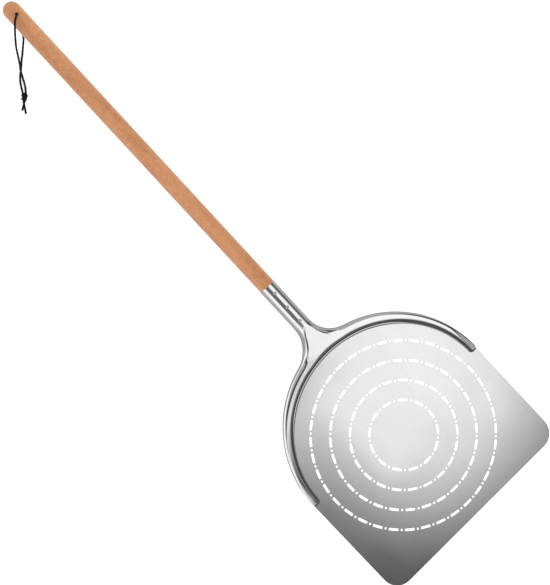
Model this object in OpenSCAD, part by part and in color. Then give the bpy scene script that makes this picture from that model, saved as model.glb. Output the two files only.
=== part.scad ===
// Perforated pizza peel: a flat steel blade, a pressed yoke, a tube neck and a round wooden handle.
// The blade lies flat on z = 0 and its leading edge faces +Y. The origin is under the middle of the rings.

/* [Blade] */
// Width of the blade
blade_w = 305; // [300:1:306]
// Distance from the middle of the rings to the leading edge
blade_front = 146; // [140:1:200]
// Distance from the middle of the rings back to where the half-round rear begins
rear_y = 17; // [14:1:20]
// Thickness of the blade
blade_t = 1; // [0.8:0.1:1.2]
// Radius of the two front corners
corner_r = 24; // [10:1:40]

/* [Rings of openings] */
// Radius of the innermost ring
ring_r = 47; // [45:0.5:48]
// Distance between rings
ring_pitch = 26.6; // [25:0.1:26.8]
// Length of a slot
slot_l = 13.6; // [8:0.1:14]
// Width of a slot
slot_w = 3.6; // [2:0.1:4]
// Diameter of the round hole between two slots
dot_d = 3.4; // [2:0.1:4]

/* [Yoke] */
// Radius of the yoke's outer edge
yoke_r = 153; // [153:0.5:154]
// Half width of the oval that the yoke's inner foot follows
foot_a = 141; // [139:0.5:142]
// Reach of that oval to the rear
foot_b = 132.5; // [131:0.5:134]
// Thickness of the yoke's sheet
sheet_t = 1.2; // [1:0.1:1.3]
// Width of the flange along the inner foot in front of the neck
flange_w = 2.6; // [2.2:0.1:2.8]
// Distance from the inner foot to the crest at an arm's tip
arm_wall = 4.4; // [4.2:0.1:4.8]
// The same in front of the neck
web_wall = 8.4; // [8:0.1:8.8]
// Height of an arm's crest above the blade
arm_h = 5; // [4.5:0.5:6]
// Height of the crest in front of the neck
web_h = 8.5; // [8:0.5:9.5]
// Radius of the fillet between the yoke's rim and the neck
fillet_r = 42; // [38:1:46]

/* [Neck] */
// Outer diameter of the neck, and of the handle
neck_d = 23.6; // [22:0.2:26]
// Wall of the neck tube
neck_wall = 1.3; // [1:0.1:1.5]
// Length of the neck tube
neck_l = 70; // [65:1:80]
// Height of the neck's axis at its front end
neck_z = 15.5; // [14:0.5:18]
// Angle at which the neck and handle rise
rise = 4; // [3:0.5:5]
// Distance from the neck's front end to the first nail
nail_at = 8; // [6:0.5:10]
// Distance between nails
nail_pitch = 24.5; // [22:0.5:25]
// Diameter of a nail's domed head
nail_head_d = 4.6; // [4:0.2:5.6]

/* [Handle] */
// Distance from the neck's front end to the handle's far tip
handle_end = 563.5; // [500:0.5:640]
// Distance from the far tip to the hanging hole
hole_from_end = 20.6; // [18:0.2:30]
// Diameter of the hanging hole
hole_d = 4.8; // [4.6:0.1:6]

/* [Thong] */
// Diameter of the leather thong
thong_d = 2.8; // [2.5:0.1:3]

/* [Hidden] */

blade_r = blade_w / 2;
// Slots on each ring, with one round hole after each
ring_counts = [13, 21, 28, 36];

// The neck's front end lies where the fillet meets its side
neck_r = neck_d / 2;
bore_r = neck_r - neck_wall;
fillet_x = neck_r + fillet_r;
fillet_dy = sqrt(pow(yoke_r + fillet_r, 2) - pow(fillet_x, 2));
neck_y = -rear_y - fillet_dy;
// Turn about the rear centre, from the side towards the back, at which the fillet begins
fillet_turn = atan2(fillet_dy, fillet_x);
// The same at which the fillet ends and the web runs into the neck
web_turn = 85;
// The same for the middle of an arm's round end
arm_turn = 1.3;

// Stations along one half of the yoke: round end, arm, fillet and web
cap_steps = 4;
arm_steps = 15;
fillet_steps = 14;
web_steps = 8;
half_steps = cap_steps + arm_steps + fillet_steps + web_steps;
// Points across the wall and across the crown
wall_steps = 4;
crown_steps = 13;
// Height of the yoke's rim above the blade
rim_h = 2.4;
// Width of the rounded flank along the rim, at an arm's tip and near the neck
tip_flank = 4.6;
web_flank = 7.7;
// Reach of the fillet in front of the neck, and run of the web along the middle
fillet_reach = fillet_r * sin(fillet_turn);
web_run = -neck_y - rear_y - foot_b - web_wall;

tenon_gap = 0.1;
tenon_l = neck_l - 3;
nail_shank_d = 2.4;
nail_l = 15;
nail_head_h = 1.3;
hole_at = handle_end - hole_from_end;

// Route of the strand that leaves the top of the hanging hole
upper_route = [
    [0, -746, 53], [0, -746, 63], [0.2, -745.9, 66], [1, -745.3, 68.2], [2.9, -744.2, 70],
    [6, -742.2, 71], [10.5, -738.4, 70.5], [15, -733.6, 68.5], [19.5, -728.5, 64.5], [23, -724, 58],
    [26, -720, 49],
    [28.5, -715.5, 38], [31, -710.5, 26.5], [33.5, -705.5, 16.5], [36, -701, 9], [39.5, -696, 5],
    [43, -689, 3.2], [46.5, -682, 2.4], [50, -676, 2.4], [54, -671, 3.4], [58.5, -667, 4.6],
    [64, -663, 4.2], [69, -660, 2.4], [73.5, -657, 1.5]];
// Route of the strand that leaves the bottom of it
lower_route = [
    [0, -746, 53], [0, -746, 42], [0.3, -745.6, 36.5], [1.3, -742.8, 30.5], [3, -737, 24],
    [6, -729, 17], [9, -723, 11.5], [13, -719, 7], [18, -714.5, 3.5], [23, -710, 2],
    [28.5, -705.5, 1.5], [34, -700.5, 1.5], [39, -696, 1.5], [44.5, -691.5, 1.5], [49.5, -686, 1.5],
    [53.5, -680, 2], [57, -674, 3.2], [60.5, -669, 4.6], [64.5, -664, 4.2], [68.5, -657.5, 2.4],
    [73, -650.5, 1.5]];
// Middle of the knot, and the turn of the strands through it
knot_at = [59.5, -668, 4.6];
knot_turn = 55;

function mix(a, b, k) = a + (b - a) * k;
function ease(k) = k * k * (3 - 2 * k);
function clamp01(k) = max(0, min(1, k));

// ---- Blade ----

module blade_outline() {
    translate([0, -rear_y]) circle(r = blade_r, $fn = 180);
    translate([-blade_r, -rear_y]) square([blade_w, blade_front - corner_r + rear_y]);
    translate([-blade_r + corner_r, 0]) square([blade_w - 2 * corner_r, blade_front]);
    for (side = [-1, 1])
        translate([side * (blade_r - corner_r), blade_front - corner_r]) circle(r = corner_r, $fn = 90);
}

// A slot bent to its ring, centred on +Y
module slot(r) {
    half = slot_l / r * 90 / PI;
    steps = [-3:3];
    outer = [for (i = steps) (r + slot_w / 2) * [sin(half * i / 3), cos(half * i / 3)]];
    inner = [for (i = steps) (r - slot_w / 2) * [-sin(half * i / 3), cos(half * i / 3)]];
    polygon(concat(outer, inner));
}

module ring_of_openings(r, count) {
    for (i = [0:count - 1]) {
        rotate(i * 360 / count) slot(r);
        rotate((i + 0.5) * 360 / count) translate([0, r]) circle(d = dot_d, $fn = 24);
    }
}

module blade() {
    color([0.78, 0.79, 0.8])
        linear_extrude(blade_t) difference() {
            blade_outline();
            for (i = [0:len(ring_counts) - 1]) ring_of_openings(ring_r + i * ring_pitch, ring_counts[i]);
        }
}

// ---- Yoke ----
// The yoke is a bent sheet. Each station along it is one closed upright section that runs from the
// inner foot on the blade, over the crest, to the rim or to the neck. Station 0 is an arm's tip and
// station half_steps is the middle of the web.

function cap_angle(i) = 90 * (i + 1) / (cap_steps + 1);
function arm_end(i) = i < cap_steps ? sin(cap_angle(i)) : 1;
function fillet_part(i) = clamp01((i - cap_steps - arm_steps) / fillet_steps);
function web_part(i) = clamp01((i - cap_steps - arm_steps - fillet_steps) / web_steps);
function cap_reach() = (yoke_r - foot_a) / 2 / yoke_r * 180 / PI;

// Turn about the rear centre of a station's foot
function foot_turn(i) =
    i < cap_steps ? arm_turn - cap_reach() * cos(cap_angle(i))
    : i <= cap_steps + arm_steps ? mix(arm_turn, fillet_turn, (i - cap_steps) / arm_steps)
    : web_part(i) == 0 ? mix(fillet_turn, web_turn, fillet_part(i))
    : mix(web_turn, 90, web_part(i));

function foot(a) = [foot_a * cos(a), -rear_y - foot_b * sin(a)];
function rim(a) = [yoke_r * cos(a), -rear_y - yoke_r * sin(a)];
function on_fillet(k) = let (a = mix(fillet_turn, 0, k))
    [fillet_x - fillet_r * cos(a), neck_y + fillet_r * sin(a)];
function on_neck_edge(k) = let (a = 90 * (1 - k))
    [neck_r * sin(a), neck_y + neck_r * cos(a) * sin(rise)];

function outer_end(i) =
    fillet_part(i) == 0 ? rim(foot_turn(i))
    : web_part(i) == 0 ? on_fillet(fillet_part(i))
    : on_neck_edge(web_part(i));

// Height of the outline's edge at distance v in front of the neck
function side_z(v) = mix(neck_z - v * tan(rise), blade_t + rim_h, ease(clamp01(v / fillet_reach)));
function crest_z(i) = blade_t + mix(arm_h, web_h, ease(clamp01((foot_turn(i) - 30) / 60))) * arm_end(i);
function rim_z(i) =
    web_part(i) > 0 ? neck_z + neck_r * cos(90 * (1 - web_part(i))) * cos(rise)
    : fillet_part(i) > 0 ? side_z(fillet_r * sin(mix(fillet_turn, 0, fillet_part(i))))
    : blade_t + rim_h * arm_end(i);
function skirt_z(i) = max(blade_t, rim_z(i) - 2 * sheet_t);

// Height of the web at a point on its right half: flat with rounded flanks, and round at the neck
function web_z(x, y, crest) =
    let (on_arm = atan2(-rear_y - y, x) < fillet_turn, far = norm([fillet_x - x, y - neck_y]),
         gap = on_arm ? yoke_r - norm([x, y + rear_y]) : far - fillet_r,
         edge = side_z(on_arm ? fillet_reach : fillet_r * (y - neck_y) / far),
         v0 = y - neck_y, arc = sin(rise) * sqrt(max(0, neck_r * neck_r - x * x)),
         v = max(0, v0 - arc * (1 - ease(clamp01(v0 / 12)))),
         flank = mix(neck_r, web_flank, ease(clamp01(v / 15))),
         run = mix(web_run, fillet_reach, ease(clamp01((x - 5) / 35))), c = clamp01(v / run),
         crown = mix(neck_z + neck_r * cos(rise), crest, mix(ease(c), c, 0.15)),
         u = 1 - clamp01(gap / flank))
    edge + (crown - edge) * sqrt(1 - u * u);

// Distance from the foot to the flange's edge, and to the crest
function flange_s(i) = flange_w * mix(0.3, 1, ease(clamp01((foot_turn(i) - 35) / 20))) * arm_end(i);
function crest_s(i) = mix(arm_wall, web_wall, pow(clamp01(foot_turn(i) / 90), 0.75)) * arm_end(i);
function wall_shape(x) = mix(ease(x), x, 0.4);
function flank_w(i) = mix(tip_flank, web_flank, clamp01((foot_turn(i) - 20) / 50)) * arm_end(i);

// A station's foot, its direction and its width
function station(i) =
    let (f0 = foot(foot_turn(i)), e0 = outer_end(i), mid = (f0 + e0) / 2,
         f = mid + (f0 - mid) * arm_end(i), e = mid + (e0 - mid) * arm_end(i))
    [f, (e - f) / norm(e - f), norm(e - f)];

// Height of the crown at distance s from a station's foot
function crown_z(i, st, s) =
    let (p = st[0] + st[1] * s, w = st[2], start = max(crest_s(i), w - flank_w(i)),
         u = clamp01((s - start) / (w - start)))
    fillet_part(i) > 0 ? web_z(abs(p[0]), p[1], crest_z(i))
    : crest_z(i) - (crest_z(i) - rim_z(i)) * (1 - sqrt(1 - u * u));

function crown_x(j) = mix(j / crown_steps, sin(90 * j / crown_steps), 0.7);

// Top of a section from the flange to the rim, as [distance from the foot, height]
function top_line(i, st) =
    let (s0 = flange_s(i), s1 = crest_s(i), z0 = blade_t + sheet_t * arm_end(i))
    concat(
        [for (j = [0:wall_steps])
            [mix(s0, s1, j / wall_steps), mix(z0, crest_z(i), wall_shape(j / wall_steps))]],
        [for (j = [1:crown_steps]) let (s = mix(s1, st[2], crown_x(j))) [s, crown_z(i, st, s)]]);

// Underside of the crown, one sheet's thickness below it
function crown_under(i, st, j) =
    let (w = st[2], s = mix(crest_s(i), w - sheet_t, crown_x(j)),
         slope = (crown_z(i, st, s + 0.1) - crown_z(i, st, s - 0.1)) / 0.2,
         low = s > w - 4 ? skirt_z(i) + 0.3 : blade_t)
    [s, max(low, crown_z(i, st, s) - sheet_t * sqrt(1 + min(9, slope * slope)))];

// Underside of the wall, one sheet's thickness inside it
function wall_under(top, j) =
    let (d = top[j + 1] - top[max(0, j - 1)])
    [top[j][0] + sheet_t * d[1] / norm(d), max(blade_t, top[j][1] - sheet_t * d[0] / norm(d))];

// Underside of a section from the rim back to the flange. An arm's tip is solid, so it is flat there
function under_line(i, st, top) =
    let (n = wall_steps + crown_steps)
    [for (j = [n:-1:0])
        i < 2 ? [st[2] * mix(0.12, 0.88, j / n), blade_t]
        : j > wall_steps ? crown_under(i, st, j - wall_steps)
        : wall_under(top, j)];

function section(i) =
    let (st = station(i), f = st[0], dir = st[1], w = st[2], top = top_line(i, st),
         rim_foot = [[w, skirt_z(i)], [i < 2 ? w * 0.94 : w - sheet_t, skirt_z(i)]],
         line = concat([[0, blade_t], [0, blade_t + sheet_t * arm_end(i)]], top, rim_foot,
                       under_line(i, st, top)))
    [for (p = line) [f[0] + dir[0] * p[0], f[1] + dir[1] * p[0], p[1]]];

function mirrored(points) = [for (p = points) [-p[0], p[1], p[2]]];

// Closed skin over a row of closed sections with the same number of points
module skin(sections) {
    m = len(sections[0]);
    n = len(sections);
    points = [for (s = sections) each s];
    sides = [for (i = [0:n - 2]) for (j = [0:m - 1])
        let (a = i * m + j, b = i * m + (j + 1) % m)
        each [[a, b, b + m], [a, b + m, a + m]]];
    ends = [[for (j = [m - 1:-1:0]) j], [for (j = [0:m - 1]) (n - 1) * m + j]];
    polyhedron(points = points, faces = concat(sides, ends), convexity = 6);
}

module yoke() {
    right = [for (i = [0:half_steps]) section(i)];
    left = [for (i = [half_steps - 1:-1:0]) mirrored(section(i))];
    color([0.82, 0.83, 0.84]) skin(concat(right, left));
}

// ---- Neck and handle ----

// Along the neck's axis as +Z, with the crown on +Y
module on_neck() {
    translate([0, neck_y, neck_z]) rotate([90 - rise, 0, 0]) children();
}

// Bore for nail i, square to the axis, from the nail's tip out past the crown
module nail_bore(i, d) {
    translate([0, 0, nail_at + i * nail_pitch]) rotate([-90, 0, 0])
        translate([0, 0, neck_r - nail_l]) cylinder(d = d, h = nail_l + 1, $fn = 32);
}

module neck_socket() {
    color([0.8, 0.81, 0.82]) on_neck() difference() {
        cylinder(r = neck_r, h = neck_l, $fn = 96);
        translate([0, 0, -1]) cylinder(r = bore_r, h = neck_l + 2, $fn = 96);
        for (i = [0:2]) nail_bore(i, nail_shank_d + 0.2);
    }
}

// A nail driven in from the crown, with a domed head that sits on the tube
module nail(i) {
    head_r = nail_head_d / 2;
    dome_r = (pow(head_r, 2) + pow(nail_head_h, 2)) / (2 * nail_head_h);
    color([0.72, 0.73, 0.74]) on_neck()
        translate([0, 0, nail_at + i * nail_pitch]) rotate([-90, 0, 0]) {
            translate([0, 0, neck_r - nail_l]) cylinder(d = nail_shank_d, h = nail_l + 0.2, $fn = 32);
            translate([0, 0, neck_r]) rotate_extrude($fn = 48) intersection() {
                translate([0, nail_head_h - dome_r]) circle(r = dome_r, $fn = 96);
                square([head_r + 1, nail_head_h + 1]);
            }
        }
}

module handle() {
    far = handle_end - neck_r;
    color([0.81, 0.58, 0.41]) on_neck() difference() {
        union() {
            translate([0, 0, neck_l - tenon_l]) cylinder(r = bore_r - tenon_gap, h = tenon_l + 1, $fn = 96);
            translate([0, 0, neck_l]) cylinder(r = neck_r, h = far - neck_l, $fn = 96);
            translate([0, 0, far]) sphere(r = neck_r, $fn = 96);
        }
        // The hanging hole is square to the blade
        translate([0, 0, hole_at]) rotate([90 + rise, 0, 0])
            cylinder(d = hole_d, h = neck_d + 2, center = true, $fn = 48);
        for (i = [0:2]) nail_bore(i, nail_shank_d);
    }
}

// ---- Thong ----

// Round the corners of a route with two points on each stretch
function softened(p) = concat(
    [p[0]],
    [for (i = [0:len(p) - 2]) each [mix(p[i], p[i + 1], 0.25), mix(p[i], p[i + 1], 0.75)]],
    [p[len(p) - 1]]);

function unit(v) = v / norm(v);
function along(p, i) = unit(p[min(len(p) - 1, i + 1)] - p[max(0, i - 1)]);

// Eight-sided ring round point i of a route, square to it
function cord_ring(p, i) =
    let (t = along(p, i), side = unit(cross(t, [0.55, -0.83, 0.1])), up = cross(side, t))
    [for (j = [0:7]) p[i] + thong_d / 2 * (side * cos(j * 45) + up * sin(j * 45))];

module thong(route) {
    p = softened(route);
    color([0.1, 0.1, 0.1]) skin([for (i = [0:len(p) - 1]) cord_ring(p, i)]);
}

// Two turns of thong round both strands
module thong_knot() {
    color([0.1, 0.1, 0.1]) translate(knot_at) rotate([90, 0, knot_turn - 90])
        for (side = [-1, 1])
            translate([0, 0, side * thong_d * 0.45])
                rotate_extrude($fn = 48) translate([thong_d * 1.1, 0]) circle(d = thong_d, $fn = 32);
}

blade();
yoke();
neck_socket();
nail(0);  // nail_front
nail(1);  // nail_middle
nail(2);  // nail_rear
handle();
thong(upper_route);  // thong_upper
thong(lower_route);  // thong_lower
thong_knot();
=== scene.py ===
"""Looks for the pizza peel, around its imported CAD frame. Lengths are in metres unless a name ends in _mm."""

import math

import bpy
import numpy as np
from mathutils import Matrix, Vector


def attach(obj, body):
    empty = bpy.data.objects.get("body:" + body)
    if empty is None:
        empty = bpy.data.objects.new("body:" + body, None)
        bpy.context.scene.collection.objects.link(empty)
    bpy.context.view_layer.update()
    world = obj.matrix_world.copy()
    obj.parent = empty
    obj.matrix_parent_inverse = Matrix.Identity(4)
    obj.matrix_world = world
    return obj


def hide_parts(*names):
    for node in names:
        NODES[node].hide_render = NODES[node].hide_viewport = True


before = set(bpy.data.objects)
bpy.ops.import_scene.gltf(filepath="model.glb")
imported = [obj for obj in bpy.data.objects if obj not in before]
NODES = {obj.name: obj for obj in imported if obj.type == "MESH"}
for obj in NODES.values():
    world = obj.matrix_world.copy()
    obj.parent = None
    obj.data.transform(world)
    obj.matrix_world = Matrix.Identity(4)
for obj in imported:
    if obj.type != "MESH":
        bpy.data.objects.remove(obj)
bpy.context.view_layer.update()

MM = 0.001


# ---- Camera ----

# Where the camera stands, the point on the floor that it looks at, and the bearing of the picture's top edge
CAMERA_AT = (0.2757, -0.5067, 2.4003)
CAMERA_AIM = (-0.0047, -0.2582, 0.0)
CAMERA_UP_DEG = 226.44
CAMERA_LENS = 113.0


def make_camera():
    """Camera over the peel, turned so that the handle runs to the picture's top left."""
    data = bpy.data.cameras.new("camera")
    data.lens = CAMERA_LENS
    data.sensor_width = 36.0
    data.clip_end = 60.0
    camera = bpy.data.objects.new("camera", data)
    bpy.context.scene.collection.objects.link(camera)
    up_turn = math.radians(CAMERA_UP_DEG)
    back = (Vector(CAMERA_AT) - Vector(CAMERA_AIM)).normalized()
    right = Vector((math.cos(up_turn), math.sin(up_turn), 0.0)).cross(back).normalized()
    turn = Matrix((right, back.cross(right), back)).transposed()
    camera.matrix_world = Matrix.Translation(CAMERA_AT) @ turn.to_4x4()
    bpy.context.scene.camera = camera


# ---- Node helpers ----

def add(tree, kind, inputs=None, **settings):
    """New shader node with its settings and inputs. An input is a value or another node's output."""
    node = tree.nodes.new(kind)
    for name, value in settings.items():
        setattr(node, name, value)
    for key, value in (inputs or {}).items():
        if isinstance(value, bpy.types.NodeSocket):
            tree.links.new(value, node.inputs[key])
        else:
            node.inputs[key].default_value = value
    return node


def math_node(tree, operation, a, b=0.0):
    return add(tree, "ShaderNodeMath", {0: a, 1: b}, operation=operation).outputs[0]


def product(tree, first, *others):
    for other in others:
        first = math_node(tree, "MULTIPLY", first, other)
    return first


def smooth(tree, value, start, end, low=0.0, high=1.0):
    """Value taken from low at start to high at end, along an S curve."""
    node = add(tree, "ShaderNodeMapRange", {"Value": value, "From Min": start, "From Max": end,
                                            "To Min": low, "To Max": high})
    node.interpolation_type = "SMOOTHSTEP"
    return node.outputs["Result"]


def mix_value(tree, share, a, b):
    node = add(tree, "ShaderNodeMix", {"Factor": share, "A": a, "B": b}, data_type="FLOAT")
    return node.outputs["Result"]


def mix_colour(tree, share, a, b, blend="MIX"):
    node = add(tree, "ShaderNodeMix", data_type="RGBA", blend_type=blend)
    for socket, value in ((node.inputs[0], share), (node.inputs[6], a), (node.inputs[7], b)):
        if isinstance(value, bpy.types.NodeSocket):
            tree.links.new(value, socket)
        else:
            socket.default_value = value
    return node.outputs[2]


def scaled_place(tree, scale):
    """The place on the object, scaled along X, Y and Z, so that a pattern can be stretched."""
    place = add(tree, "ShaderNodeTexCoord").outputs["Object"]
    return add(tree, "ShaderNodeMapping", {"Vector": place, "Scale": scale}).outputs["Vector"]


def noise(tree, place, detail=3.0, roughness=0.5, distortion=0.0):
    """Noise from 0 to 1 with one feature per unit of place."""
    node = add(tree, "ShaderNodeTexNoise", {"Vector": place, "Scale": 1.0, "Detail": detail,
                                            "Roughness": roughness, "Distortion": distortion})
    return node.outputs["Fac"]


def bump(tree, height, distance, strength=1.0):
    node = add(tree, "ShaderNodeBump", {"Height": height, "Distance": distance, "Strength": strength})
    return node.outputs["Normal"]


def new_material(name):
    """Material with an empty principled shader: (material, its tree, the shader)."""
    material = bpy.data.materials.new(name)
    material.use_nodes = True
    return material, material.node_tree, material.node_tree.nodes["Principled BSDF"]


def grey(value):
    return (value, value, value, 1.0)


# ---- Studio ----

FLOOR_HALF = 9.0
FLOOR_Z = -0.0004
FLOOR_ALBEDO = 0.8
FLOOR_ALBEDO_MIRRORED = 0.36
# Glow of the floor as it is seen, and as it is mirrored
FLOOR_GLOW = 0.55
FLOOR_GLOW_MIRRORED = 0.02
# Brightness of the room as it lights the object, and as it is mirrored
ROOM_BRIGHT = 1.0
ROOM_MIRRORED = 0.25

# The light tent's roof, which shows only as a reflection, and how bright its parts are
ROOF_Z = 0.3
ROOF_HALF = 5.0
ROOF_BOX_RIGHT = 0.95
ROOF_BOX_LEFT = 1.16
ROOF_SIDE = 1.12
ROOF_REAR = 0.47
ROOF_FAR = 0.6
ROOF_DARK = 0.055
# Rounded rectangles on the roof: the two corners, the corners' radius and the width of the soft edge
SOFT_BOX = ((-0.29, -1.2), (0.075, 0.2), 0.14, 0.075)
BRIDGE = ((0.0, -0.11), (0.6, -0.04), 0.03, 0.03)
DARK_CARD = ((-0.014, -0.27), (0.9, -0.127), 0.02, 0.006)
# How far the side strip's edge slants back for each unit of slant height
SIDE_SLANT = 0.27

# The low card under the roof, as its middle, its half width and its half length
WEB_CARD_Z = 0.1
WEB_CARD_AT = (-0.005, -0.025, 0.0)
WEB_CARD_HALF = (0.065, 0.085)
WEB_CARD_BRIGHT = 1.06

# Soft boxes as their name, place, size and power, and the point that they shine at
SOFT_BOXES = (("key", (-1.6, -1.0, 2.4), 1.6, 14.0), ("fill", (1.8, 0.6, 2.0), 1.8, 8.0))
LIT_POINT = (0.0, -0.3, 0.0)


def box_mask(tree, x, y, low, high, corner, soft):
    """1 inside the rounded rectangle from low to high, and 0 outside it, with soft edges."""
    deep = []
    for value, a, b in ((x, low[0], high[0]), (y, low[1], high[1])):
        off = math_node(tree, "ABSOLUTE", math_node(tree, "SUBTRACT", value, (a + b) / 2))
        deep.append(math_node(tree, "MAXIMUM", math_node(tree, "SUBTRACT", off, (b - a) / 2 - corner), 0.0))
    square = math_node(tree, "ADD", product(tree, deep[0], deep[0]), product(tree, deep[1], deep[1]))
    return smooth(tree, math_node(tree, "SQRT", square), corner + soft, corner - soft)


def flat_panel(name, half, z):
    mesh = bpy.data.meshes.new(name)
    corners = [(-half, -half, z), (half, -half, z), (half, half, z), (-half, half, z)]
    mesh.from_pydata(corners, [], [(0, 1, 2, 3)])
    panel = bpy.data.objects.new(name, mesh)
    bpy.context.scene.collection.objects.link(panel)
    return panel


def light_panel(panel, name):
    """Makes a panel show only in mirrored rays, and gives it an empty material: its tree."""
    for ray in ("camera", "diffuse", "shadow", "transmission", "volume_scatter"):
        setattr(panel, "visible_" + ray, False)
    material, tree, shader = new_material(name)
    tree.nodes.remove(shader)
    panel.data.materials.append(material)
    return tree


def shine(tree, light):
    """Lets a panel glow with a value, or with another node's output."""
    glow = add(tree, "ShaderNodeEmission", {"Color": light})
    tree.links.new(glow.outputs[0], tree.nodes["Material Output"].inputs["Surface"])


def make_roof():
    """Light tent's roof: a soft box, a bridge beside it, a dark card across that, a side strip, and
    dimmer panels to the left and rear and far away on the other sides."""
    tree = light_panel(flat_panel("tent_roof", ROOF_HALF, ROOF_Z), "tent_light")
    place = add(tree, "ShaderNodeSeparateXYZ", {0: add(tree, "ShaderNodeTexCoord").outputs["Object"]})
    x, y, z = place.outputs
    box = box_mask(tree, x, y, *SOFT_BOX)
    bridge = box_mask(tree, x, y, *BRIDGE)
    card = box_mask(tree, x, y, *DARK_CARD)
    slant = math_node(tree, "SQRT", math_node(tree, "ADD", product(tree, x, x), ROOF_Z ** 2))
    beyond = math_node(tree, "SUBTRACT", slant, ROOF_Z)
    along = math_node(tree, "SUBTRACT", y, product(tree, beyond, SIDE_SLANT))
    side = product(tree, smooth(tree, x, 0.22, 0.32), smooth(tree, along, 0.02, -0.16))
    rear = smooth(tree, y, -0.24, -0.34)
    bright = smooth(tree, x, 0.12, -0.2, ROOF_BOX_RIGHT, ROOF_BOX_LEFT)
    light = mix_value(tree, math_node(tree, "MAXIMUM", box, bridge), ROOF_DARK, bright)
    light = mix_value(tree, card, light, ROOF_DARK)
    left = product(tree, smooth(tree, x, -0.36, -0.46), smooth(tree, x, -1.3, -1.1),
                   smooth(tree, y, 0.0, 0.06))
    light = mix_value(tree, left, light, ROOF_REAR)
    light = mix_value(tree, smooth(tree, y, 0.42, 0.62), light, ROOF_FAR)
    light = mix_value(tree, smooth(tree, x, 0.5, 0.65), light, ROOF_FAR)
    light = mix_value(tree, side, light, ROOF_SIDE)
    light = mix_value(tree, product(tree, rear, smooth(tree, x, 0.34, 0.24)), light, ROOF_REAR)
    shine(tree, light)


def make_web_card():
    """Low white card that the sloping web mirrors."""
    card = flat_panel("web_card", 0.001, WEB_CARD_Z)
    card.location = WEB_CARD_AT
    card.scale = (WEB_CARD_HALF[0] / MM, WEB_CARD_HALF[1] / MM, 1.0)
    shine(light_panel(card, "card_light"), grey(WEB_CARD_BRIGHT))


def make_world():
    """Even white light on the object and behind the floor, and a dim room in mirrored rays."""
    world = bpy.data.worlds.new("studio")
    bpy.context.scene.world = world
    world.use_nodes = True
    tree = world.node_tree
    mirrored = add(tree, "ShaderNodeLightPath").outputs["Is Glossy Ray"]
    light = mix_value(tree, mirrored, ROOM_BRIGHT, ROOM_MIRRORED)
    tree.links.new(light, tree.nodes["Background"].inputs["Color"])


def make_floor():
    """Plain pale floor, bright enough to read as white."""
    floor = flat_panel("floor", FLOOR_HALF, FLOOR_Z)
    material, tree, shader = new_material("floor_paper")
    shader.inputs["Roughness"].default_value = 0.9
    shader.inputs["Specular IOR Level"].default_value = 0.0
    shader.inputs["Emission Color"].default_value = grey(1.0)
    mirrored = add(tree, "ShaderNodeLightPath").outputs["Is Glossy Ray"]
    albedo = mix_value(tree, mirrored, FLOOR_ALBEDO, FLOOR_ALBEDO_MIRRORED)
    tree.links.new(albedo, shader.inputs["Base Color"])
    light = mix_value(tree, mirrored, FLOOR_GLOW, FLOOR_GLOW_MIRRORED)
    tree.links.new(light, shader.inputs["Emission Strength"])
    floor.data.materials.append(material)


def make_lights():
    """Two soft boxes that shape the wood and the thong. Nothing mirrors them."""
    for name, place, size, power in SOFT_BOXES:
        data = bpy.data.lights.new(name, "AREA")
        data.shape = "SQUARE"
        data.size = size
        data.energy = power
        light = bpy.data.objects.new(name, data)
        bpy.context.scene.collection.objects.link(light)
        light.location = place
        aim = Vector(LIT_POINT) - Vector(place)
        light.rotation_euler = aim.to_track_quat("-Z", "Y").to_euler()
        light.visible_glossy = False
        light.visible_camera = False


# ---- Materials ----

def blade_steel():
    """Satin rolled sheet: fine grain along Y, cloudy patches, faint handling marks."""
    material, tree, shader = new_material("blade_steel")
    grain = noise(tree, scaled_place(tree, (2600.0, 90.0, 2600.0)), detail=2.0)
    cloud = noise(tree, scaled_place(tree, (22.0, 16.0, 22.0)), detail=4.0)
    speck = noise(tree, scaled_place(tree, (420.0, 420.0, 420.0)), detail=2.0)
    tone = mix_value(tree, smooth(tree, grain, 0.3, 0.7), 0.79, 0.83)
    tone = product(tree, tone, smooth(tree, speck, 0.2, 0.8, 0.985, 1.015))
    tree.links.new(tone, shader.inputs["Base Color"])
    rough = smooth(tree, cloud, 0.25, 0.75, 0.30, 0.36)
    tree.links.new(rough, shader.inputs["Roughness"])
    shader.inputs["Metallic"].default_value = 1.0
    tree.links.new(bump(tree, grain, 0.000004, 0.6), shader.inputs["Normal"])
    return material


# Attribute of the yoke's mesh that holds painted shade and a painted dark reflection for its steel, and the
# tone at full share
PAINTED_SHADE = "painted_shade_share"
PAINTED_SHADE_TONE = 0.12


def yoke_steel():
    """Polished pressed steel, with painted shade and a painted dark reflection on the lip, the inner wall and
    the arm tips: the mesh says how much of that each point has. The lip and the inner wall are darker, as if
    less polished, which is a guess: the mesh says how much of that each point has."""
    material, tree, shader = new_material("yoke_steel")
    polish = noise(tree, scaled_place(tree, (900.0, 900.0, 900.0)), detail=3.0)
    cloud = noise(tree, scaled_place(tree, (60.0, 60.0, 60.0)), detail=2.0)
    tone = smooth(tree, polish, 0.25, 0.75, 0.80, 0.84)
    painted_shade = add(tree, "ShaderNodeAttribute", attribute_name=PAINTED_SHADE).outputs["Fac"]
    # Painted shade and painted dark reflection: the mesh's share pulls the base tone down
    tree.links.new(mix_value(tree, painted_shade, tone, PAINTED_SHADE_TONE), shader.inputs["Base Color"])
    tree.links.new(smooth(tree, cloud, 0.3, 0.7, 0.11, 0.16), shader.inputs["Roughness"])
    shader.inputs["Metallic"].default_value = 1.0
    tree.links.new(bump(tree, polish, 0.000003, 0.4), shader.inputs["Normal"])
    return material


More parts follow.
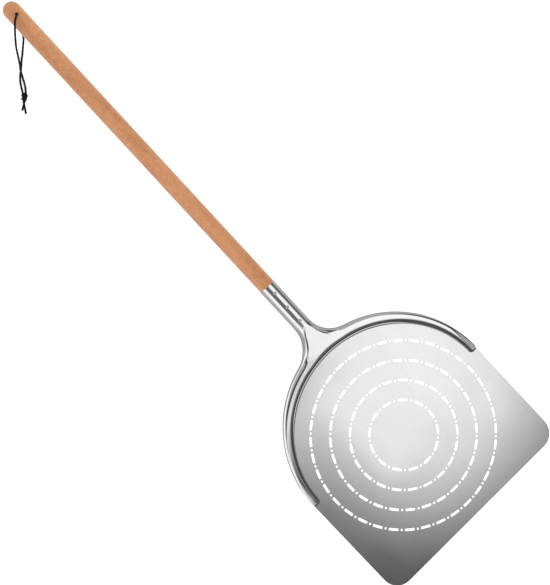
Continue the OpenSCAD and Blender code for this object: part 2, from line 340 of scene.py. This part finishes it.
def nail_steel():
    """Zinc-grey nail, duller than the tube, with hammer marks."""
    material, tree, shader = new_material("nail_steel")
    marks = noise(tree, scaled_place(tree, (1500.0, 1500.0, 1500.0)), detail=2.0)
    tree.links.new(smooth(tree, marks, 0.3, 0.7, 0.52, 0.66), shader.inputs["Base Color"])
    tree.links.new(smooth(tree, marks, 0.3, 0.7, 0.2, 0.34), shader.inputs["Roughness"])
    shader.inputs["Metallic"].default_value = 1.0
    tree.links.new(bump(tree, marks, 0.00005, 0.5), shader.inputs["Normal"])
    return material


BEECH_PALE = (0.63, 0.29, 0.12, 1.0)
BEECH_WARM = (0.40, 0.15, 0.05, 1.0)
BEECH_FLECK = (0.36, 0.13, 0.05, 1.0)


def beech():
    """Steamed beech: mottled soft growth bands, fine pores and short dark rays along the shaft."""
    material, tree, shader = new_material("beech")
    bands = noise(tree, scaled_place(tree, (75.0, 9.0, 75.0)), detail=3.0, distortion=0.4)
    mottle = noise(tree, scaled_place(tree, (420.0, 150.0, 420.0)), detail=3.0, roughness=0.7)
    fibres = noise(tree, scaled_place(tree, (900.0, 26.0, 900.0)), detail=3.0)
    rays = noise(tree, scaled_place(tree, (1500.0, 260.0, 1500.0)), detail=1.0)
    bands = smooth(tree, bands, 0.3, 0.7, 0.0, 0.5)
    share = math_node(tree, "ADD", bands, smooth(tree, mottle, 0.3, 0.7, 0.0, 0.5))
    colour = mix_colour(tree, share, BEECH_WARM, BEECH_PALE)
    colour = mix_colour(tree, smooth(tree, fibres, 0.35, 0.75, 0.0, 0.35), colour, BEECH_WARM)
    colour = mix_colour(tree, smooth(tree, rays, 0.58, 0.70, 0.0, 0.7), colour, BEECH_FLECK)
    tree.links.new(colour, shader.inputs["Base Color"])
    tree.links.new(smooth(tree, fibres, 0.3, 0.7, 0.46, 0.60), shader.inputs["Roughness"])
    shader.inputs["Specular IOR Level"].default_value = 0.5
    shader.inputs["Sheen Weight"].default_value = 0.5
    shader.inputs["Sheen Roughness"].default_value = 0.45
    height = math_node(tree, "ADD", fibres, product(tree, rays, -0.6))
    tree.links.new(bump(tree, height, 0.00004, 0.5), shader.inputs["Normal"])
    return material


def black_leather():
    """Round leather thong: near black, waxed, with a fine grain that is paler on its ridges."""
    material, tree, shader = new_material("black_leather")
    grain = noise(tree, scaled_place(tree, (1400.0, 1400.0, 1400.0)), detail=3.0)
    wear = noise(tree, scaled_place(tree, (160.0, 160.0, 160.0)), detail=2.0)
    tone = product(tree, smooth(tree, grain, 0.3, 0.75, 0.004, 0.009), smooth(tree, wear, 0.3, 0.7, 0.8, 1.3))
    tree.links.new(tone, shader.inputs["Base Color"])
    tree.links.new(smooth(tree, grain, 0.3, 0.7, 0.38, 0.58), shader.inputs["Roughness"])
    shader.inputs["Specular IOR Level"].default_value = 0.14
    tree.links.new(bump(tree, grain, 0.0001, 0.6), shader.inputs["Normal"])
    return material


def finish_node(name, material):
    """Gives a CAD node that is shown its better material."""
    for slot in NODES[name].material_slots:
        slot.link = "OBJECT"
        slot.material = material
    NODES[name].data.shade_smooth()


# ---- Thong ----

THONG_D = 0.0028

# Routes of the two strands in millimetres, as in the CAD source
UPPER_ROUTE_MM = [
    (0, -746, 53), (0, -746, 63), (0.2, -745.9, 66), (1, -745.3, 68.2), (2.9, -744.2, 70),
    (6, -742.2, 71), (10.5, -738.4, 70.5), (15, -733.6, 68.5), (19.5, -728.5, 64.5), (23, -724, 58),
    (26, -720, 49),
    (28.5, -715.5, 38), (31, -710.5, 26.5), (33.5, -705.5, 16.5), (36, -701, 9), (39.5, -696, 5),
    (43, -689, 3.2), (46.5, -682, 2.4), (50, -676, 2.4), (54, -671, 3.4), (58.5, -667, 4.6),
    (64, -663, 4.2), (69, -660, 2.4), (73.5, -657, 1.5)]
LOWER_ROUTE_MM = [
    (0, -746, 53), (0, -746, 42), (0.3, -745.6, 36.5), (1.3, -742.8, 30.5), (3, -737, 24),
    (6, -729, 17), (9, -723, 11.5), (13, -719, 7), (18, -714.5, 3.5), (23, -710, 2),
    (28.5, -705.5, 1.5), (34, -700.5, 1.5), (39, -696, 1.5), (44.5, -691.5, 1.5), (49.5, -686, 1.5),
    (53.5, -680, 2), (57, -674, 3.2), (60.5, -669, 4.6), (64.5, -664, 4.2), (68.5, -657.5, 2.4),
    (73, -650.5, 1.5)]
KNOT_AT = Vector((0.0595, -0.668, 0.0046))
KNOT_TURN = math.radians(55.0)
# Tilt of the knot from lying flat, and its turn in its own plane
KNOT_TILT = math.radians(48.0)
KNOT_SPIN = math.radians(-90.0)


def strand(name, points, diameter):
    """Round thong along one smooth open spline."""
    data = bpy.data.curves.new(name, "CURVE")
    data.dimensions = "3D"
    data.resolution_u = 8
    data.bevel_depth = diameter / 2
    data.bevel_resolution = 5
    data.use_fill_caps = True
    spline = data.splines.new("BEZIER")
    spline.bezier_points.add(len(points) - 1)
    for knot, point in zip(spline.bezier_points, points):
        knot.co = point
        knot.handle_left_type = "AUTO"
        knot.handle_right_type = "AUTO"
    thong = bpy.data.objects.new(name, data)
    bpy.context.scene.collection.objects.link(thong)
    return thong


def knot_points():
    """Overhand turns round both strands: a trefoil, opened at its outer side and laid on its edge."""
    wide, thin, steps = 0.0029, 0.0015, 60
    turn = Matrix.Rotation(KNOT_TURN, 3, "Z") @ Matrix.Rotation(KNOT_TILT, 3, "X")
    turn = turn @ Matrix.Rotation(KNOT_SPIN, 3, "Z")
    points = []
    for i in range(steps):
        t = 2 * math.pi * (0.03 + 0.94 * i / (steps - 1))
        r = wide + thin * math.cos(3 * t)
        point = Vector((r * math.cos(2 * t), r * math.sin(2 * t), thin * math.sin(3 * t)))
        points.append(KNOT_AT + turn @ point)
    return points


def make_thong():
    """The two strands of the thong and the knot that ties them."""
    leather = black_leather()
    upper = strand("thong_upper_strand", [Vector(p) * MM for p in UPPER_ROUTE_MM], THONG_D)
    lower = strand("thong_lower_strand", [Vector(p) * MM for p in LOWER_ROUTE_MM], THONG_D)
    knot = strand("thong_overhand_knot", knot_points(), THONG_D)
    for piece, node in ((upper, "thong_upper"), (lower, "thong_lower"), (knot, "thong_knot")):
        piece.data.materials.append(leather)
        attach(piece, "hang_loop")
        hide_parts(node)


# ---- Yoke ----

# The pressed yoke's dimensions in millimetres, as in the CAD source
BLADE_T, REAR_Y = 1.0, 17.0
YOKE_R, FOOT_A, FOOT_B = 153.0, 141.0, 132.5
SHEET_T, ARM_H, WEB_H, FILLET_R, RIM_H = 1.2, 5.0, 8.5, 42.0, 1.2
ARM_WALL, WEB_WALL = 4.4, 8.4
NECK_R, NECK_Z, RISE = 11.8, 15.5, math.radians(4.0)
WEB_TURN, ARM_TURN = 85.0, 1.3
FILLET_X = NECK_R + FILLET_R
FILLET_DY = math.sqrt((YOKE_R + FILLET_R) ** 2 - FILLET_X ** 2)
NECK_Y = -REAR_Y - FILLET_DY
FILLET_TURN = math.degrees(math.atan2(FILLET_DY, FILLET_X))
FILLET_REACH = FILLET_R * math.sin(math.radians(FILLET_TURN))
# Run of the web along the middle, from the crest to the neck's front end, and its flank's width
WEB_RUN = 46.5
FLANK = 7.7
# Stations along the round end, the arm, the fillet and the web, and points across a section
CAP_N, ARM_N, FILLET_N, WEB_N = 16, 80, 50, 30
LIP_N, SHELF_N, WALL_N, CROWN_N, UNDER_N = 6, 3, 18, 44, 40


def mix(a, b, k):
    return a + (b - a) * k


def ease(k):
    return k * k * (3 - 2 * k)


def clamp01(k):
    return max(0.0, min(1.0, k))


def step(value, start, end):
    """0 before start and 1 after end, eased between."""
    return ease(clamp01((value - start) / (end - start)))


def sind(a):
    return math.sin(math.radians(a))


def cosd(a):
    return math.cos(math.radians(a))


def wall_shape(x):
    """The wall's climb from the shelf to the crest, both from 0 to 1."""
    return mix(ease(x), x, 0.4)


def ramp(v):
    """The web's climb from the neck's front end, at v = 0, down to the crest, at v = 1, as 1 to 0."""
    return 1 - mix(ease(v), v, 0.15) if 0 < v < 1 else float(v <= 0)


def side_z(v):
    """Height of the outline's edge at distance v in front of the neck."""
    return mix(NECK_Z - v * math.tan(RISE), BLADE_T + RIM_H, step(v, 0.0, FILLET_REACH))


def outline_gap(x, y):
    """Distance in from the outline, and how far in front of the neck its nearest point lies."""
    if math.degrees(math.atan2(-REAR_Y - y, x)) < FILLET_TURN:
        return YOKE_R - math.hypot(x, y + REAR_Y), FILLET_REACH
    far = math.hypot(FILLET_X - x, y - NECK_Y)
    return far - FILLET_R, FILLET_R * (y - NECK_Y) / far


def web_z(x, y, crest_z):
    """Height of the web, which is flat with rounded flanks and becomes the round neck."""
    x = abs(x)
    gap, v_edge = outline_gap(x, y)
    v = y - NECK_Y
    v = max(0.0, v - math.sin(RISE) * math.sqrt(max(0.0, NECK_R ** 2 - x * x)) * (1 - step(v, 0.0, 12.0)))
    flank = mix(NECK_R, FLANK, step(v, 0.0, 15.0))
    run = mix(WEB_RUN, FILLET_REACH, step(x, 5.0, 40.0))
    crown = mix(crest_z, NECK_Z + NECK_R * math.cos(RISE), ramp(v / run))
    edge = side_z(v_edge)
    u = 1 - clamp01(gap / flank)
    return edge + (crown - edge) * math.sqrt(1 - u * u)


class Station:
    """One upright section of the yoke: where it stands, and the shape of its outer face."""

    def __init__(self, end, arm, fillet, web):
        # end is the share of full size at the arm's round tip; arm, fillet and web run from 0 to 1
        cap_reach = math.degrees((YOKE_R - FOOT_A) / 2 / YOKE_R)
        if end < 1:
            self.turn = ARM_TURN - cap_reach * math.sqrt(1 - end * end)
        elif web > 0:
            self.turn = mix(WEB_TURN, 90.0, web)
        elif fillet > 0:
            self.turn = mix(FILLET_TURN, WEB_TURN, fillet)
        else:
            self.turn = mix(ARM_TURN, FILLET_TURN, arm)
        self.end, self.fillet = end, fillet
        foot = np.array([FOOT_A * cosd(self.turn), -REAR_Y - FOOT_B * sind(self.turn)])
        if web > 0:
            a = 90 * (1 - web)
            outer = np.array([NECK_R * sind(a), NECK_Y + NECK_R * cosd(a) * math.sin(RISE)])
            self.rim_z = NECK_Z + NECK_R * cosd(a) * math.cos(RISE)
        elif fillet > 0:
            a = mix(FILLET_TURN, 0.0, fillet)
            outer = np.array([FILLET_X - FILLET_R * cosd(a), NECK_Y + FILLET_R * sind(a)])
            self.rim_z = side_z(FILLET_R * sind(a))
        else:
            outer = np.array([YOKE_R * cosd(self.turn), -REAR_Y - YOKE_R * sind(self.turn)])
            self.rim_z = BLADE_T + RIM_H * end
        self.skirt_z = max(BLADE_T, self.rim_z - 2 * SHEET_T)
        middle = (foot + outer) / 2
        self.foot = middle + (foot - middle) * end
        outer = middle + (outer - middle) * end
        self.width = np.linalg.norm(outer - self.foot)
        self.along = (outer - self.foot) / self.width
        self.crest_z = BLADE_T + mix(ARM_H, WEB_H, step(self.turn, 30, 90)) * end
        self.crest = mix(ARM_WALL, WEB_WALL, clamp01(self.turn / 90) ** 0.75) * end
        self.lip = mix(0.5, 1.0, step(self.turn, 35, 55)) * end
        self.shelf = mix(0.7, 2.7, step(self.turn, 35, 55)) * end
        self.flank = mix(7.2, mix(4.6, FLANK, clamp01((self.turn - 20) / 50)), step(self.turn, 4, 18)) * end
        self.round = step(self.turn, 4, 18)

    def place(self, s):
        return self.foot + self.along * s

    def crown_z(self, s):
        """Height of the outer face at distance s from the foot, past the crest."""
        start = max(self.crest, self.width - self.flank)
        u = clamp01((s - start) / (self.width - start))
        drop = mix(u ** 1.25, 1 - math.sqrt(1 - u * u), self.round)
        if self.fillet > 0:
            return web_z(*self.place(s), self.crest_z)
        return self.crest_z - (self.crest_z - self.rim_z) * drop

    def top(self):
        """The outer face from the foot to the rim, as (distance from the foot, height)."""
        shelf_z = BLADE_T + SHEET_T * self.end
        line = [(self.lip * (1 - cosd(90 * j / LIP_N)), mix(BLADE_T, shelf_z, sind(90 * j / LIP_N)))
                for j in range(LIP_N)]
        line += [(mix(self.lip, self.shelf, j / SHELF_N), shelf_z) for j in range(SHELF_N)]
        line += [(mix(self.shelf, self.crest, j / WALL_N), mix(shelf_z, self.crest_z, wall_shape(j / WALL_N)))
                 for j in range(WALL_N)]
        across = [mix(j / CROWN_N, sind(90 * j / CROWN_N), 0.7) for j in range(CROWN_N + 1)]
        return line + [(s, self.crown_z(s)) for s in (mix(self.crest, self.width, x) for x in across)]

    def under(self, top):
        """The inner face, one sheet's thickness under the outer one, from the rim back to the foot."""
        s_top, z_top = np.array(top).T
        s = np.linspace(self.width - min(1.3, 0.1 * self.width), self.lip + 0.3 * self.end, UNDER_N)
        slope = np.gradient(np.interp(s, s_top, z_top), s)
        z = np.interp(s, s_top, z_top) - SHEET_T * np.sqrt(1 + np.minimum(np.abs(slope), 3) ** 2)
        low = np.where((s > self.width - 4) & (self.end == 1), self.skirt_z + 0.1, BLADE_T)
        return list(zip(s, np.maximum(z, low) if self.end > 0.6 else low))

    def painted_shade(self):
        """Share of painted shade and painted dark reflection at each point: on the lip, the inner wall and the
        arm tips.
        """
        flat = self.shelf - self.lip
        # The arm tips get the full painted shade
        tip = 1 - step(self.end, 0.78, 0.96)
        line = []
        for s, _ in self.top():
            lip = 1 - step(s, self.lip + 0.25 * flat, self.lip + 0.7 * flat)
            wall = step(s, mix(self.lip, self.shelf, 0.8), self.shelf + 0.2) * (
                1 - step(s, self.crest - 1.2, self.crest + 1.6))
            line.append(max(tip, self.end * max(lip, wall)))
        return line + [0.0] * (UNDER_N + 2)

    def section(self):
        top = self.top()
        rim = [(self.width, self.skirt_z), (self.width - min(1.2, 0.08 * self.width), self.skirt_z)]
        return [np.array([*self.place(s), z]) * MM for s, z in top + rim + self.under(top)]


def half_yoke():
    """Stations from an arm's tip to the middle of the web."""
    cap = [Station(sind(90 * (i + 0.7) / (CAP_N + 0.7)), 0.0, 0.0, 0.0) for i in range(CAP_N)]
    arm = [Station(1.0, i / ARM_N, 0.0, 0.0) for i in range(ARM_N)]
    fillet = [Station(1.0, 1.0, i / FILLET_N, 0.0) for i in range(FILLET_N + 1)]
    web = [Station(1.0, 1.0, 1.0, (i + 1) / WEB_N) for i in range(WEB_N)]
    return cap + arm + fillet + web


def make_yoke():
    """The pressed yoke as one closed skin over its sections."""
    half = half_yoke()
    stations = half + half[-2::-1]
    right = [station.section() for station in half]
    left = [[p * np.array([-1, 1, 1]) for p in s] for s in reversed(right[:-1])]
    rows = right + left
    count = len(rows[0])
    points = [tuple(p) for row in rows for p in row]
    faces = [(near + j, near + count + j, near + count + (j + 1) % count, near + (j + 1) % count)
             for near in range(0, (len(rows) - 1) * count, count) for j in range(count)]
    faces.append(tuple(range(count)))
    faces.append(tuple(reversed(range(len(points) - count, len(points)))))
    mesh = bpy.data.meshes.new("pressed_yoke")
    mesh.from_pydata(points, [], faces)
    # Painted shade and painted dark reflection, as a share for each point
    shares = [share for station in stations for share in station.painted_shade()]
    mesh.attributes.new(PAINTED_SHADE, "FLOAT", "POINT").data.foreach_set("value", shares)
    mesh.validate()
    mesh.shade_smooth()
    mesh.set_sharp_from_angle(angle=math.radians(50.0))
    yoke = bpy.data.objects.new("pressed_yoke", mesh)
    bpy.context.scene.collection.objects.link(yoke)
    mesh.materials.append(yoke_steel())
    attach(yoke, "peel")
    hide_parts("yoke")


make_camera()
make_thong()
make_world()
make_floor()
make_roof()
make_web_card()
make_lights()
bpy.context.scene.view_settings.view_transform = "Standard"
make_yoke()
finish_node("blade", blade_steel())
finish_node("neck_socket", bpy.data.materials["yoke_steel"])
finish_node("handle", beech())
nail_material = nail_steel()
for nail in ("nail_front", "nail_middle", "nail_rear"):
    finish_node(nail, nail_material)
